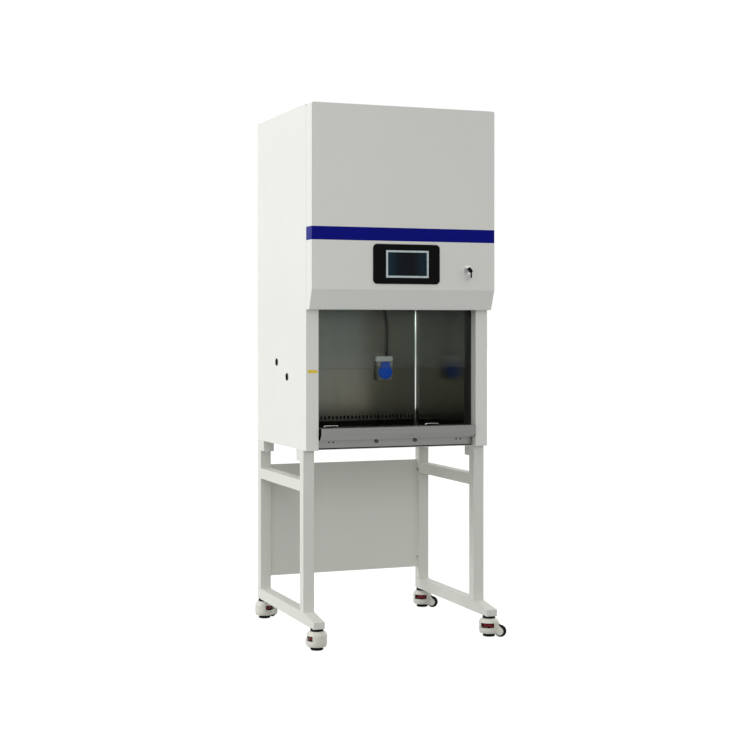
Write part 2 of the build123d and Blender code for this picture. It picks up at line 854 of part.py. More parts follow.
motor_face = -scroll_width / 2
with BuildPart() as blower_motor:
    with BuildSketch(across(motor_face)):
        with Locations((scroll_y, scroll_z)):
            Circle(motor_body_radius)
    extrude(amount=-motor_body_length)
    fillet(blower_motor.edges().sort_by(Axis.X)[0], radius=motor_round)
    with BuildSketch(across(motor_face)):
        with Locations((scroll_y, scroll_z)):
            Circle(shaft_radius)
    extrude(amount=-motor_face + hub_radius)
    with BuildSketch(across(motor_face)):
        with Locations((scroll_y, scroll_z)):
            Rectangle(2 * (inlet_radius + motor_arm_reach), motor_arm)
            Rectangle(motor_arm, 2 * (inlet_radius + motor_arm_reach))
    extrude(amount=-motor_arm_thickness)
finish(blower_motor, "blower_motor")

# ================================================================ sash and its lift
with BuildPart() as sash_guides:
    with BuildSketch(level(base_z + sheet)):
        for sign in (-1, 1):
            low, high = sorted((sign * liner_x, sign * (liner_x + guide_width)))
            span((low, return_y), (high, wall_y))
            groove_low, groove_high = sorted((sign * liner_x, sign * (liner_x + groove_depth)))
            span(
                (groove_low, glass_y - glass_play),
                (groove_high, glass_y + glass + glass_play),
                mode=Mode.SUBTRACT,
            )
    extrude(amount=liner_height - sheet)
finish(sash_guides, "sash_guides")

with BuildPart() as sash_glass:
    with BuildSketch(level(sash_z)):
        span((-glass_half, glass_y), (glass_half, glass_y + glass))
    extrude(amount=glass_height)
    chamfer(sash_glass.edges().filter_by(Axis.X), length=glass_edge)
finish(sash_glass, "sash_glass")

glass_top = sash_z + glass_height
clamp_top = glass_top + clamp_wall
with BuildPart() as sash_clamps:
    for x in (-strap_x, strap_x):
        with BuildSketch(across(x - clamp_width / 2)):
            span((glass_y - clamp_wall, glass_top - clamp_height), (glass_y + glass + clamp_wall, clamp_top))
            span((glass_y, glass_top - clamp_height), (glass_y + glass, glass_top), mode=Mode.SUBTRACT)
        extrude(amount=clamp_width)
finish(sash_clamps, "sash_clamps")

strap_y = glass_y + glass / 2
with BuildPart() as sash_straps:
    with BuildSketch(level(clamp_top)):
        with Locations((-strap_x, strap_y), (strap_x, strap_y)):
            Rectangle(strap_width, strap)
    extrude(amount=drum_z - clamp_top)
finish(sash_straps, "sash_straps")

with BuildPart() as sash_drum:
    with BuildSketch(across(-bracket_x)):
        with Locations((drum_y, drum_z)):
            Circle(drum_radius)
    extrude(amount=2 * bracket_x)
    for sign in (-1, 1):
        for inset, radius, length in (
            (-strap_width / 2 - reel_flange - strap_play, reel_flange_radius, reel_flange),
            (-strap_width / 2 - strap_play, reel_radius - seat_gap, strap_width + 2 * strap_play),
            (strap_width / 2 + strap_play, reel_flange_radius, reel_flange),
        ):
            with BuildSketch(across(sign * strap_x + inset)):
                with Locations((drum_y, drum_z)):
                    Circle(radius)
            extrude(amount=length)
finish(sash_drum, "sash_drum")

bracket_low = drum_z - bracket_width / 2
with BuildPart() as drum_brackets:
    for sign in (-1, 1):
        with BuildSketch(across(sign * (bracket_x - bracket))):
            span((drum_y - bracket_width / 2, bracket_low), (drum_y + bracket_width / 2, top_z - sheet))
            with Locations((drum_y, drum_z)):
                Circle(drum_radius + running, mode=Mode.SUBTRACT)
        extrude(amount=sign * bracket)
        with BuildSketch(level(top_z - sheet)):
            low, high = sorted((sign * (bracket_x - bracket), sign * (bracket_x - bracket_width)))
            span((low, drum_y - bracket_width / 2), (high, drum_y + bracket_width / 2))
        extrude(amount=-bracket)
finish(drum_brackets, "drum_brackets")

with BuildPart() as sash_motor:
    with BuildSketch(across(bracket_x + seat_gap)):
        with Locations((drum_y, drum_z)):
            Circle(motor_radius)
    extrude(amount=motor_length)
    fillet(sash_motor.edges().sort_by(Axis.X)[-1], radius=lift_motor_round)
finish(sash_motor, "sash_motor")

# ================================================================ back and sides
with BuildPart() as power_inlet:
    with BuildSketch(facing(rear_y)):
        with Locations((inlet_x, top_z - inlet_drop)):
            RectangleRounded(inlet_width + inlet_ears, inlet_height + inlet_rims, inlet_round)
    extrude(amount=-inlet_flange)
    with BuildSketch(facing(rear_y)):
        with Locations((inlet_x, top_z - inlet_drop)):
            Rectangle(inlet_width - 2 * running, inlet_height - 2 * running)
    extrude(amount=inlet_body)
    with BuildSketch(facing(rear_y + inlet_flange)):
        with Locations((inlet_x, top_z - inlet_drop)):
            Rectangle(inlet_width - 2 * inlet_wall_x, inlet_height - 2 * inlet_wall_z)
    extrude(amount=inlet_well, mode=Mode.SUBTRACT)
finish(power_inlet, "power_inlet")

with BuildPart() as side_plugs:
    for y, height in plug_places:
        with BuildSketch(across(-side)):
            with Locations((y, base_z + height)):
                Circle(plug_radius + plug_flange)
        extrude(amount=-plug_flange)
        with BuildSketch(across(-side)):
            with Locations((y, base_z + height)):
                Circle(plug_radius - running)
        extrude(amount=plug_reach)
        with BuildSketch(across(-side - plug_flange)):
            with Locations((y, base_z + height)):
                Circle(plug_radius - plug_flange)
        extrude(amount=plug_flange + sheet, mode=Mode.SUBTRACT)
finish(side_plugs, "side_plugs")


# ================================================================ stand
def stand_frame(sign, label):
    """One welded side: two legs, their top blocks, the side beam and the foot beam."""
    outer, inner = sign * side, sign * leg_in
    low, high = min(outer, inner), max(outer, inner)
    bore_low, bore_high = low + tube_wall, high - tube_wall
    with BuildPart() as legs:
        with BuildSketch(level(foot_z + tube)):
            for y in (front_leg_y, rear_leg_y):
                span((low, y), (high, y + tube))
                span((bore_low, y + tube_wall), (bore_high, y + tube - tube_wall), mode=Mode.SUBTRACT)
        extrude(amount=base_z - foot_z - 2 * tube)
    with BuildPart() as blocks:
        with BuildSketch(level(base_z - tube)):
            span((low, front_leg_y), (high, front_leg_y + block_length))
            span((low, rear_y - block_length), (high, rear_y))
            with Locations(*[place for place in block_bolts if place[0] * sign > 0]):
                Circle(bolt_hole_radius, mode=Mode.SUBTRACT)
        extrude(amount=tube)
    with BuildPart() as beam:
        with BuildSketch(facing(front_leg_y + tube)):
            span((low, beam_height), (high, beam_height + tube))
            span(
                (bore_low, beam_height + tube_wall),
                (bore_high, beam_height + tube - tube_wall),
                mode=Mode.SUBTRACT,
            )
        extrude(amount=front_leg_y + tube - rear_leg_y)
    with BuildPart() as foot:
        with BuildSketch(across(low)):
            with BuildLine():
                Polyline(
                    (rear_y, foot_z),
                    (rear_y, foot_z + tube),
                    (front_leg_y, foot_z + tube),
                    (front_leg_y - toe_reach, foot_z + toe_tip_top),
                    (front_leg_y - toe_reach, foot_z),
                    close=True,
                )
            make_face()
        extrude(amount=tube)
        with BuildSketch(across(bore_low)):
            span((front_leg_y, foot_z + tube_wall), (rear_y - tube_wall, foot_z + tube - tube_wall))
            span((rear_leg_y + tube_wall, foot_z + tube / 2), (rear_y - tube_wall, foot_z + tube))
        extrude(amount=tube - 2 * tube_wall, mode=Mode.SUBTRACT)
        with BuildSketch(level(foot_z)):
            with Locations(*[(sign * (side - caster_in), y) for y in (caster_front_y, caster_rear_y)]):
                Circle(stud_hole_radius)
        extrude(amount=stud_length + stud_play, mode=Mode.SUBTRACT)
    frame = Compound(label=label, children=[legs.part, blocks.part, beam.part, foot.part])
    export_step(frame, f"parts/{label}.step")


stand_frame(-1, "left_frame")
stand_frame(1, "right_frame")

panel_y = rear_y - panel_setback
with BuildPart() as modesty_panel:
    with BuildSketch(level(panel_low)):
        span((-leg_in, panel_y - sheet), (leg_in, panel_y))
        for sign in (-1, 1):
            low, high = sorted((sign * leg_in, sign * (leg_in - sheet)))
            span((low, panel_y - panel_flange), (high, panel_y))
    extrude(amount=panel_high - panel_low)
finish(modesty_panel, "modesty_panel")

panel_screw_y = panel_y - panel_flange / 2
with BuildPart() as stand_fasteners:
    with BuildSketch(level(base_z - tube)):
        with Locations(*block_bolts):
            RegularPolygon(bolt_head_radius, 6)
    extrude(amount=-bolt_head)
    with BuildSketch(level(base_z - tube)):
        with Locations(*block_bolts):
            Circle(bolt_radius)
    extrude(amount=tube + sheet + bolt_head)
    with BuildSketch(level(base_z + sheet)):
        with Locations(*block_bolts):
            RegularPolygon(bolt_head_radius, 6)
    extrude(amount=bolt_head)
    for sign in (-1, 1):
        with BuildSketch(across(sign * (leg_in - sheet))):
            with Locations((panel_screw_y, panel_low + tube), (panel_screw_y, panel_high - tube)):
                Circle(panel_screw_head)
        extrude(amount=-sign * panel_screw_radius)
finish(stand_fasteners, "stand_fasteners")


# ================================================================ casters
# One caster is drawn about its swivel axis, with its wheel trailing along +X.
swivel = Axis.Z
roof_z = housing_high - housing_roof
housing_inner = housing_radius - housing_wall
wheel_side = wheel_width / 2 + wheel_play
axle = Axis((wheel_trail, 0, wheel_radius), (0, 1, 0))

with BuildPart() as caster_stem:
    with BuildSketch(Plane.XZ):
        span((0, housing_high + seat_gap), (stem_plate_radius, foot_z))
        span((0, foot_z), (stud_radius, foot_z + stud_length))
        span((0, roof_z), (stem_radius, housing_high + seat_gap))
        span((0, roof_z), (stem_bore_radius, foot_z - stem_cap), mode=Mode.SUBTRACT)
    revolve(axis=swivel)

with BuildPart() as caster_housing:
    with BuildSketch(Plane.XZ):
        with BuildLine():
            crown = (stem_plate_radius + 1, housing_high)
            shoulder = (housing_radius, housing_high - housing_roof - housing_lip)
            waist = (housing_radius, housing_low + housing_roof)
            rim = (housing_radius - housing_tuck, housing_low)
            Line((0, housing_high), crown)
            ThreePointArc(
                crown,
                (housing_radius - housing_crown_bulge, housing_high - housing_roof / 2),
                shoulder,
            )
            Line(shoulder, waist)
            ThreePointArc(waist, (housing_radius - housing_waist_bulge, housing_low + housing_roof / 2), rim)
            Polyline(rim, (0, housing_low), (0, housing_high))
        make_face()
    revolve(axis=swivel)
    for start, way in ((wheel_side, 1), (-wheel_side, -1)):
        with BuildSketch(Plane.XZ.offset(start)):
            with Locations((wheel_trail, wheel_radius)):
                Circle(cheek_radius)
            with Locations((housing_radius - cheek_radius, housing_high - 2 * cheek_radius)):
                Circle(cheek_radius)
            make_hull()
        extrude(amount=way * cheek)
    with BuildSketch(Plane.XZ):
        span((0, housing_low), (housing_inner - housing_lip_width, housing_low + housing_lip))
        span((0, housing_low + housing_lip), (housing_inner, roof_z))
        span((0, roof_z), (stem_radius + running, housing_high))
    revolve(axis=swivel, mode=Mode.SUBTRACT)
    with BuildSketch(Plane.XZ.offset(-wheel_side)):
        with Locations((wheel_trail, wheel_radius)):
            Circle(wheel_radius + wheel_play)
    extrude(amount=2 * wheel_side, mode=Mode.SUBTRACT)
    for way in (-window_angle, window_angle):
        look = Plane.XY.rotated((0, 0, way)).x_dir
        window = Plane(
            origin=look * (dial_radius / 2) + Vector(0, 0, window_low + window_height / 2),
            x_dir=Vector(0, 0, 1).cross(look),
            z_dir=look,
        )
        with BuildSketch(window):
            Rectangle(window_width, window_height)
        extrude(amount=housing_radius, mode=Mode.SUBTRACT)
    with BuildSketch(Plane.XZ.offset(-wheel_side - cheek / 2)):
        with Locations((wheel_trail, wheel_radius)):
            Circle(axle_radius)
    extrude(amount=2 * wheel_side + cheek)

with BuildPart() as caster_wheel:
    with BuildSketch(Plane(origin=axle.position, x_dir=(0, 1, 0), z_dir=(1, 0, 0))):
        with BuildLine():
            half_width = wheel_width / 2
            web = half_width - web_recess
            tyre_edge = wheel_radius - tyre_round
            Polyline(
                (web, axle_radius + running),
                (web, wheel_radius - hub_rim),
                (half_width, wheel_radius - tyre_side),
                (half_width, tyre_edge),
            )
            ThreePointArc((half_width, tyre_edge), (0, wheel_radius), (-half_width, tyre_edge))
            Polyline(
                (-half_width, tyre_edge),
                (-half_width, wheel_radius - tyre_side),
                (-web, wheel_radius - hub_rim),
                (-web, axle_radius + running),
                (web, axle_radius + running),
            )
        make_face()
    revolve(axis=axle)

with BuildPart() as caster_dial:
    with BuildSketch(level(dial_low)):
        Circle(dial_radius)
        with PolarLocations(dial_radius, dial_notches):
            Circle(dial_notch_radius, mode=Mode.SUBTRACT)
    extrude(amount=dial_thickness)
    with BuildSketch(level(dial_low)):
        Circle(screw_radius + screw_collar)
    extrude(amount=roof_z - seat_gap - dial_low)
    with BuildSketch(level(dial_low)):
        Circle(screw_radius + running)
    extrude(amount=roof_z - dial_low, mode=Mode.SUBTRACT)

with BuildPart() as caster_pad:
    with BuildSketch(Plane.XZ):
        with BuildLine():
            pad_top = pad_clear + pad_thickness
            Polyline(
                (0, pad_clear),
                (pad_radius - pad_edge, pad_clear),
                (pad_radius, pad_clear + pad_edge),
                (pad_radius, pad_top - pad_edge),
                (pad_radius - pad_slope, pad_top),
                (screw_radius + screw_collar, pad_top + 1),
                (screw_radius, pad_top + screw_collar),
                (screw_radius, screw_top),
                (0, screw_top),
                close=True,
            )
        make_face()
    revolve(axis=swivel)

stems = []
for corner, (sign, y, trail) in casters.items():
    place = Location((sign * (side - caster_in), y, 0), (0, 0, trail))
    stems.append(caster_stem.part.moved(place))
    for piece, name in (
        (caster_housing, "housing"),
        (caster_wheel, "wheel"),
        (caster_dial, "dial"),
        (caster_pad, "pad"),
    ):
        placed = piece.part.moved(place)
        placed.label = f"{corner}_caster_{name}"
        export_step(placed, f"parts/{placed.label}.step")
export_step(Compound(label="caster_stems", children=stems), "parts/caster_stems.step")
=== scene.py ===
import json
import math
import random

import bmesh
import bpy
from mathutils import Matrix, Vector


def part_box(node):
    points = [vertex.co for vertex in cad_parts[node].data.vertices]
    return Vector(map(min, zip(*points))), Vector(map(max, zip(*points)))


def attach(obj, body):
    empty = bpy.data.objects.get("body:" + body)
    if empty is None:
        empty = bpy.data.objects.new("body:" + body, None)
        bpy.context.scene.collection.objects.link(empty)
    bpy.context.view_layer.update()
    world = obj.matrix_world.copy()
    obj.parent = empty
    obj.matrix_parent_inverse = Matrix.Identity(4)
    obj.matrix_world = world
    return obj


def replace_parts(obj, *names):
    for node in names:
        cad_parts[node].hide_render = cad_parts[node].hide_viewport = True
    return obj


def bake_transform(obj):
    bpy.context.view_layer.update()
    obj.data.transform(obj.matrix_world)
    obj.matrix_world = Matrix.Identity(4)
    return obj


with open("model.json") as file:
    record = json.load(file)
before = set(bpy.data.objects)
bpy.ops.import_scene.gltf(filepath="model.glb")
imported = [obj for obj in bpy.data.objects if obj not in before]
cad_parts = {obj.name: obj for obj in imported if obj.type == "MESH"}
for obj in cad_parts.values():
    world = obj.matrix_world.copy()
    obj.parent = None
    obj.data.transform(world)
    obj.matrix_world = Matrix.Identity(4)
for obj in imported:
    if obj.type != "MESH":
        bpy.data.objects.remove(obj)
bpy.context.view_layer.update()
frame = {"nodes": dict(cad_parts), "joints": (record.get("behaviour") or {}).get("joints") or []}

# Metres. +Z is up and the cabinet's front faces -Y, as in the frame.
MM = 0.001
scene = bpy.context.scene
nodes = frame["nodes"]
CORNERS = ("front_left", "front_right", "rear_left", "rear_right")


# ------------------------------------------------------------------ materials
def srgb(red, green, blue):
    """A colour given as 0 to 255 display values, as a linear colour."""
    def linear(c):
        c /= 255
        return c / 12.92 if c <= 0.04045 else ((c + 0.055) / 1.055) ** 2.4
    return (linear(red), linear(green), linear(blue), 1)


class Finish:
    """A Principled material, with short ways to add what varies over its surface."""

    def __init__(self, name, **constants):
        self.material = bpy.data.materials.new(name)
        self.material.use_nodes = True
        self.tree = self.material.node_tree
        self.shader = self.tree.nodes["Principled BSDF"]
        self.output = self.tree.nodes["Material Output"]
        for socket, value in constants.items():
            self.shader.inputs[socket.replace("_", " ")].default_value = value
        self.place = self.tree.nodes.new("ShaderNodeTexCoord").outputs["Object"]
        self.normal = None

    def join(self, source, target):
        self.tree.links.new(source, target)

    def noise(self, scale, detail=2.0, stretch=(1, 1, 1), roughness=0.5):
        mapping = self.tree.nodes.new("ShaderNodeMapping")
        mapping.inputs["Scale"].default_value = stretch
        self.join(self.place, mapping.inputs["Vector"])
        noise = self.tree.nodes.new("ShaderNodeTexNoise")
        noise.inputs["Scale"].default_value = scale
        noise.inputs["Detail"].default_value = detail
        noise.inputs["Roughness"].default_value = roughness
        self.join(mapping.outputs["Vector"], noise.inputs["Vector"])
        return noise.outputs["Fac"]

    def spread(self, source, low, high, from_low=0.3, from_high=0.7):
        node = self.tree.nodes.new("ShaderNodeMapRange")
        for side, start, end in (("Min", from_low, low), ("Max", from_high, high)):
            node.inputs[f"From {side}"].default_value = start
            node.inputs[f"To {side}"].default_value = end
        self.join(source, node.inputs["Value"])
        return node.outputs["Result"]

    def along(self, axis, start, end):
        """0 up to start and 1 from end on, measured along an axis of the frame."""
        split = self.tree.nodes.new("ShaderNodeSeparateXYZ")
        self.join(self.place, split.inputs["Vector"])
        return self.spread(split.outputs[axis], 0, 1, start, end)

    def colours(self, source, *stops):
        """A ramp over source through (place, colour) stops, set as the base colour."""
        ramp = self.tree.nodes.new("ShaderNodeValToRGB")
        band = ramp.color_ramp
        while len(band.elements) < len(stops):
            band.elements.new(1)
        for element, (place, colour) in zip(band.elements, stops):
            element.position, element.color = place, colour
        self.join(source, ramp.inputs["Fac"])
        self.join(ramp.outputs["Color"], self.shader.inputs["Base Color"])
        return self

    def roughness(self, source, low, high):
        self.join(self.spread(source, low, high), self.shader.inputs["Roughness"])
        return self

    def soften(self, radius):
        """Edges catch the light as if they were rounded by radius."""
        node = self.tree.nodes.new("ShaderNodeBevel")
        node.samples = 4
        node.inputs["Radius"].default_value = radius
        self.normal = node.outputs["Normal"]
        self.join(self.normal, self.shader.inputs["Normal"])
        return self

    def bump(self, source, strength, distance):
        node = self.tree.nodes.new("ShaderNodeBump")
        node.inputs["Strength"].default_value = strength
        node.inputs["Distance"].default_value = distance
        self.join(source, node.inputs["Height"])
        if self.normal is not None:
            self.join(self.normal, node.inputs["Normal"])
        self.normal = node.outputs["Normal"]
        self.join(self.normal, self.shader.inputs["Normal"])
        return self


def shade(colour, factor):
    return tuple(c * factor for c in colour[:3]) + (1,)


def varied(name, colour, change, scale, rough, **constants):
    """A finish whose colour drifts by change over patches 1 / scale across, with roughness over rough."""
    finish = Finish(name, **constants)
    drift = finish.noise(scale, 3)
    finish.colours(drift, (0.35, shade(colour, 1 - change)), (0.65, shade(colour, 1 + change)))
    finish.roughness(finish.noise(scale * 6, 4), *rough)
    return finish


def powder_coat(name, colour, rough=(0.38, 0.5)):
    """Sprayed paint on sheet steel: a fine orange peel and slightly rounded bends."""
    finish = varied(name, colour, 0.012, 2.2, rough, Specular_IOR_Level=0.42)
    return finish.soften(1.0 * MM).bump(finish.noise(420, 3), strength=0.10, distance=0.4 * MM)


def moulded(name, colour, rough=(0.4, 0.52), grain=0.12, edge=0.6, gloss=0.4):
    """Moulded plastic or rubber with a fine spark-eroded grain."""
    finish = varied(name, colour, 0.06, 14, rough, Specular_IOR_Level=gloss)
    return finish.soften(edge * MM).bump(finish.noise(900, 2), strength=grain, distance=0.3 * MM)


def brushed(name, colour, stretch, rough=(0.26, 0.42), dirt=0.08, relief=0.05, edge_tint=1.0):
    """Brushed stainless steel, its scratches drawn out along the axis that stretch leaves short."""
    finish = Finish(name, Metallic=1.0, Specular_Tint=(edge_tint, edge_tint, edge_tint, 1))
    streak = finish.noise(1.0, 6, stretch, 0.7)
    finish.colours(streak, (0.3, shade(colour, 1 - dirt)), (0.7, shade(colour, 1 + dirt)))
    finish.roughness(streak, *rough)
    return finish.soften(0.5 * MM).bump(streak, strength=relief, distance=0.2 * MM)


def rolled(name, cool, warm, rough, stretch=(2.6, 2.6, 0.7)):
    """Mill-finished stainless sheet: no grain, but its colour drifts between a cool and a warm tone in tall
    soft clouds.
    """
    finish = Finish(name, Metallic=1.0)
    cloud = finish.noise(1.6, 3, stretch, 0.55)
    finish.colours(cloud, (0.38, cool), (0.62, warm))
    finish.roughness(finish.noise(5.0, 3, stretch), *rough)
    return finish.soften(0.5 * MM).bump(finish.noise(160, 3), strength=0.01, distance=0.2 * MM)


def cast(name, colour, rough=(0.35, 0.5), metallic=1.0, scale=60):
    """Plated, rolled or cast metal, clouded rather than brushed."""
    finish = varied(name, colour, 0.08, scale, rough, Metallic=metallic)
    return finish.soften(0.4 * MM).bump(finish.noise(scale * 10, 3), strength=0.08, distance=0.2 * MM)


PAINT = srgb(226, 227, 222)
STAND = srgb(217, 218, 211)
BLACK = srgb(12, 12, 13)

paint = powder_coat("cabinet_paint", PAINT)
stand_paint = powder_coat("stand_paint", STAND, (0.42, 0.55))
panel_paint = powder_coat("modesty_paint", srgb(220, 221, 214), (0.45, 0.58))
black = moulded("black_plastic", BLACK, gloss=0.15)
bezel_black = moulded("bezel_black", srgb(4, 4, 5), (0.3, 0.42), 0.05, gloss=0.06)
screen_frame = cast("screen_frame", srgb(168, 180, 182), (0.3, 0.4), 0.6)
chrome = cast("chrome", srgb(205, 207, 208), (0.10, 0.2))
lock_steel = cast("lock_steel", srgb(216, 217, 216), (0.34, 0.44))
# Painted shade: the apron's thumbscrews get a dark base colour, which stands in for the shade and dark
# reflections on their metal heads.
steel_screw_painted_shade = cast("screw_steel_painted_shade", srgb(62, 62, 64), (0.14, 0.24))
key_metal = moulded("key_metal", srgb(4, 4, 5), (0.4, 0.55), 0.05, 0.4, 0.05)
# Painted shade and painted reflection: the chamber's walls and diffuser get a dark base colour, which
# stands in for the shade in the chamber and the dark room their steel mirrors.
wall_steel_painted_shade = rolled("wall_steel_painted_shade", srgb(86, 95, 93), srgb(100, 99, 88), (0.19, 0.26))
side_steel_painted_shade = rolled("side_steel_painted_shade", srgb(92, 96, 86), srgb(104, 104, 84), (0.12, 0.2))
cove_steel = brushed("cove_steel", srgb(232, 233, 228), (420, 420, 3), (0.06, 0.1), 0.03, 0.0)
apron_steel = brushed("apron_steel", srgb(126, 127, 124), (3, 420, 420), (0.3, 0.46))
# Painted shade and painted reflection: the steel tray gets a near-black base colour and no glancing
# reflection (edge_tint 0), which stand in for the shade in the chamber and the dark corner it mirrors.
tray_steel_painted_shade = brushed("tray_steel_painted_shade", srgb(40, 42, 40), (3, 420, 420), (0.34, 0.46), edge_tint=0.0)
handle_steel = cast("handle_steel", srgb(214, 216, 214), (0.12, 0.2))
zinc = cast("zinc_steel", srgb(165, 168, 170), (0.3, 0.5), 1.0, 30)
aluminium = cast("cast_aluminium", srgb(150, 152, 155), (0.42, 0.6), 1.0, 80)
grey_plastic = moulded("grey_plastic", srgb(214, 216, 212))
white_plastic = moulded("white_plastic", srgb(225, 226, 222), (0.35, 0.5))
blue = moulded("blue_plastic", srgb(6, 84, 205), (0.24, 0.36), 0.05, gloss=0.3)
cable_black = moulded("cable_black", srgb(18, 18, 19), (0.45, 0.6), 0.2, 0.2, 0.2)
guide_grey = moulded("guide_grey", srgb(44, 46, 42), (0.45, 0.6), gloss=0.2)
nylon = moulded("caster_nylon", srgb(214, 213, 204), (0.3, 0.45), 0.08, 0.8)
tyre = moulded("caster_tyre", srgb(12, 12, 12), (0.55, 0.75), 0.25, gloss=0.12)
dial_red = moulded("dial_red", srgb(112, 14, 20), (0.26, 0.4), 0.08, gloss=0.25)
pad_black = moulded("pad_black", srgb(10, 10, 11), (0.5, 0.7), 0.2, gloss=0.12)
navy = moulded("navy_vinyl", srgb(2, 10, 124), (0.3, 0.42), 0.03, 0.1, 0.08)
marker_yellow = moulded("marker_yellow", srgb(228, 198, 62), (0.4, 0.55), 0.05, 0.1)
# Painted shade: the grey of the hood's joint hairlines stands in for the shadow in the gap between the hood
# and the side panels.
seam_shade_line = moulded("seam_painted_shade", srgb(92, 93, 90), (0.6, 0.8), 0.1, 0.1, 0.15)


def webbing():
    """Woven lifting strap: fine cross threads over the belt's length."""
    finish = Finish("strap_webbing", Sheen_Weight=0.25)
    wave = finish.tree.nodes.new("ShaderNodeTexWave")
    wave.bands_direction = "Z"
    wave.inputs["Scale"].default_value = 260
    wave.inputs["Distortion"].default_value = 1.5
    finish.join(finish.place, wave.inputs["Vector"])
    finish.colours(wave.outputs["Fac"], (0.2, srgb(20, 20, 22)), (0.8, srgb(52, 52, 55)))
    finish.roughness(wave.outputs["Fac"], 0.6, 0.8)
    return finish.bump(wave.outputs["Fac"], strength=0.5, distance=0.4 * MM)


def pleated():
    """Filter media: close vertical folds, off-white, with a dull cloth surface, its colour darker in the
    valleys of the folds as painted shade.
    """
    finish = Finish("filter_media", Sheen_Weight=0.2)
    wave = finish.tree.nodes.new("ShaderNodeTexWave")
    wave.bands_direction = "X"
    wave.inputs["Scale"].default_value = 80
    finish.join(finish.place, wave.inputs["Vector"])
    finish.colours(wave.outputs["Fac"], (0.1, srgb(170, 170, 162)), (0.9, srgb(236, 236, 230)))
    finish.roughness(finish.noise(300), 0.7, 0.9)
    return finish.bump(wave.outputs["Fac"], strength=0.8, distance=2 * MM)


def clear(name, colour, haze, bend=1.45):
    """Clear glass that lets the lamps through, with a faint film of dust over it."""
    finish = Finish(name, Transmission_Weight=1.0, IOR=bend)
    film = finish.noise(9, 4)
    finish.colours(film, (0.35, colour), (0.7, shade(colour, 0.97)))
    finish.roughness(film, *haze)
    light = finish.tree.nodes.new("ShaderNodeLightPath")
    through = finish.tree.nodes.new("ShaderNodeBsdfTransparent")
    through.inputs["Color"].default_value = colour
    mix = finish.tree.nodes.new("ShaderNodeMixShader")
    finish.join(light.outputs["Is Shadow Ray"], mix.inputs["Fac"])
    finish.join(finish.shader.outputs["BSDF"], mix.inputs[1])
    finish.join(through.outputs["BSDF"], mix.inputs[2])
    finish.join(mix.outputs["Shader"], finish.output.inputs["Surface"])
    return finish


sash_clear = clear("sash_clear", srgb(238, 243, 241), (0.034, 0.046), 1.2)
lamp_clear = clear("lamp_clear", srgb(240, 243, 246), (0.034, 0.05))


def display(low_x, high_x):
    """A switched-off display: near black, with a dim teal cast towards its two ends."""
    finish = Finish("display_glass", Specular_IOR_Level=0.1)
    finish.colours(finish.along("X", low_x, high_x), (0.05, srgb(10, 44, 58)), (0.28, srgb(2, 16, 26)),
                   (0.62, srgb(3, 7, 14)), (0.85, srgb(8, 34, 46)))
    return finish.roughness(finish.noise(40), 0.06, 0.12)


def shade_inside(finish, inside_shade, axis, limit):
    """Gives the side of a sheet that lies below limit along axis a colour of its own, as painted shade for
    a face turned into the cabinet.
    """
    edge = 0.1 * MM
    choose = finish.tree.nodes.new("ShaderNodeMixRGB")
    finish.join(finish.along(axis, limit - edge, limit + edge), choose.inputs["Fac"])
    choose.inputs["Color1"].default_value = inside_shade
    finish.join(finish.shader.inputs["Base Color"].links[0].from_socket, choose.inputs["Color2"])
    finish.join(choose.outputs["Color"], finish.shader.inputs["Base Color"])
    return finish


def two_tone(name, below, above, split_z, rough):
    """A plastic moulding in two colours, one below split_z and one above it."""
    edge = 0.3 * MM
    finish = Finish(name, Specular_IOR_Level=0.3)
    finish.colours(finish.along("Z", split_z - edge, split_z + edge), (0.3, below), (0.7, above))
    finish.roughness(finish.noise(80, 4), *rough)
    return finish.soften(0.6 * MM).bump(finish.noise(900, 2), strength=0.12, distance=0.3 * MM)


SCREEN_LOW, SCREEN_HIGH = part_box("touch_screen")
SOCKET_BAND = 14.5 * MM
PANEL_SKIN = 0.5 * MM
back_low, back_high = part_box("rear_panel")
screen_dark = display(SCREEN_LOW.x, SCREEN_HIGH.x)
socket_shell = two_tone("socket_shell", srgb(116, 121, 114), srgb(158, 164, 164),
                        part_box("socket_base")[1].z - SOCKET_BAND, (0.35, 0.5))
# Painted shade: the rear panel's inner face, inside the cabinet, is coloured near black.
rear_paint = shade_inside(powder_coat("rear_paint", PAINT), srgb(30, 30, 31), "Y", back_high.y - PANEL_SKIN)
strap_webbing = webbing()

finishes = {
    "left_side_panel right_side_panel top_panel bottom_pan hood_cover": paint,
    "rear_panel": rear_paint,
    "left_frame right_frame": stand_paint,
    "modesty_panel": panel_paint,
    "side_plugs power_inlet sash_clamps": black,
    "display_bezel": bezel_black,
    "touch_screen": screen_frame,
    "key_switch": lock_steel,
    "apron_screws": steel_screw_painted_shade,
    "key": key_metal,
    "chamber_rear_wall": wall_steel_painted_shade,
    "chamber_side_walls diffuser": side_steel_painted_shade,
    "front_apron": apron_steel,
    "work_tray": tray_steel_painted_shade,
    "tray_handles": handle_steel,
    "plenum_front blower_deck blower_housing stand_fasteners drum_brackets sash_drum": zinc,
    "supply_filter exhaust_filter": pleated(),
    "blower_impeller blower_motor sash_motor": aluminium,
    "cable_fittings": grey_plastic,
    "lamp_holders": white_plastic,
    "uv_lamp": lamp_clear,
    "sash_glass": sash_clear,
    "socket_base": socket_shell,
    "socket_lid": blue,
    "socket_cable": cable_black,
    "sash_straps": strap_webbing,
    "sash_guides": guide_grey,
    "caster_stems": pad_black,
}
for corner in CORNERS:
    for part, finish in (("housing", nylon), ("wheel", tyre), ("dial", dial_red), ("pad", pad_black)):
        finishes[f"{corner}_caster_{part}"] = finish
for names, finish in finishes.items():
    for name in names.split():
        if not nodes[name].material_slots:
            nodes[name].data.materials.append(finish.material)
        for held in nodes[name].material_slots:
            held.material = finish.material


